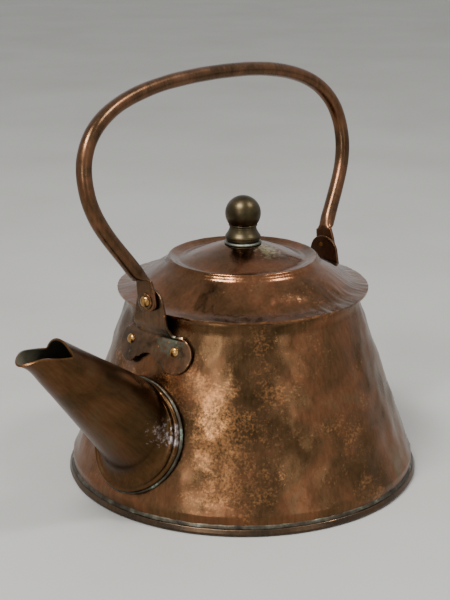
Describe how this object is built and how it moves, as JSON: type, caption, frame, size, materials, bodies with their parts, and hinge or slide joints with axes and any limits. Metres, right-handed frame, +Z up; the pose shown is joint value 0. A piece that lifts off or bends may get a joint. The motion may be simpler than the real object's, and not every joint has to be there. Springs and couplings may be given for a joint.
{
  "type": "kettle",
  "caption": "Conical copper kettle on a folded base rim, with a slanted riveted spout, a lift-off hat lid with a turned knob, and a swinging bail handle on two riveted brackets.",
  "frame": {"origin": "on the body's axis, in the plane of the base that rests on the table", "axes": "+X along the spout, +Z up, +Y to the left when looking along the spout from the body"},
  "size_m": [0.268, 0.2, 0.2267],
  "materials": {
    "body_copper": "hammered copper with a brown patina, worn bright in patches",
    "dark_copper": "copper with a dark brown patina",
    "handle_copper": "forged copper bar, brown patina, worn smooth",
    "rivet_copper": "domed rivets rubbed bright on top",
    "aged_brass": "turned brass, dark olive brown with age",
    "tarnished_solder": "soft solder, dull grey with green tarnish"
  },
  "bodies": {
    "kettle_body": {"body_shell": "body_copper", "base_pan": "body_copper", "base_seam_solder": "tarnished_solder", "spout": "dark_copper", "spout_solder": "tarnished_solder", "front_bracket": "dark_copper", "rear_bracket": "dark_copper", "front_bracket_rivet_left": "rivet_copper", "front_bracket_rivet_right": "rivet_copper", "rear_bracket_rivet_left": "rivet_copper", "rear_bracket_rivet_right": "rivet_copper", "front_bracket_washer_left": "dark_copper", "front_bracket_washer_right": "dark_copper", "rear_bracket_washer_left": "dark_copper", "rear_bracket_washer_right": "dark_copper", "front_pivot_rivet": "rivet_copper", "rear_pivot_rivet": "rivet_copper", "front_pivot_washer": "dark_copper", "rear_pivot_washer": "dark_copper"},
    "lid": {"lid_cover": "body_copper", "lid_ring": "body_copper", "knob": "aged_brass", "knob_collar": "tarnished_solder", "knob_washer": "aged_brass", "knob_screw": "aged_brass"},
    "handle": {"bail_handle": "handle_copper"}
  },
  "joints": [
    {"name": "lid_lift", "type": "slide", "parent": "kettle_body", "child": "lid", "axis": [0, 0, 1], "range_m": [0, 0.05]},
    {"name": "handle_swing", "type": "hinge", "parent": "kettle_body", "child": "handle", "pos_m": [0, 0, 0.1137], "axis": [1, 0, 0], "range_deg": [-137, 113]}
  ]
}
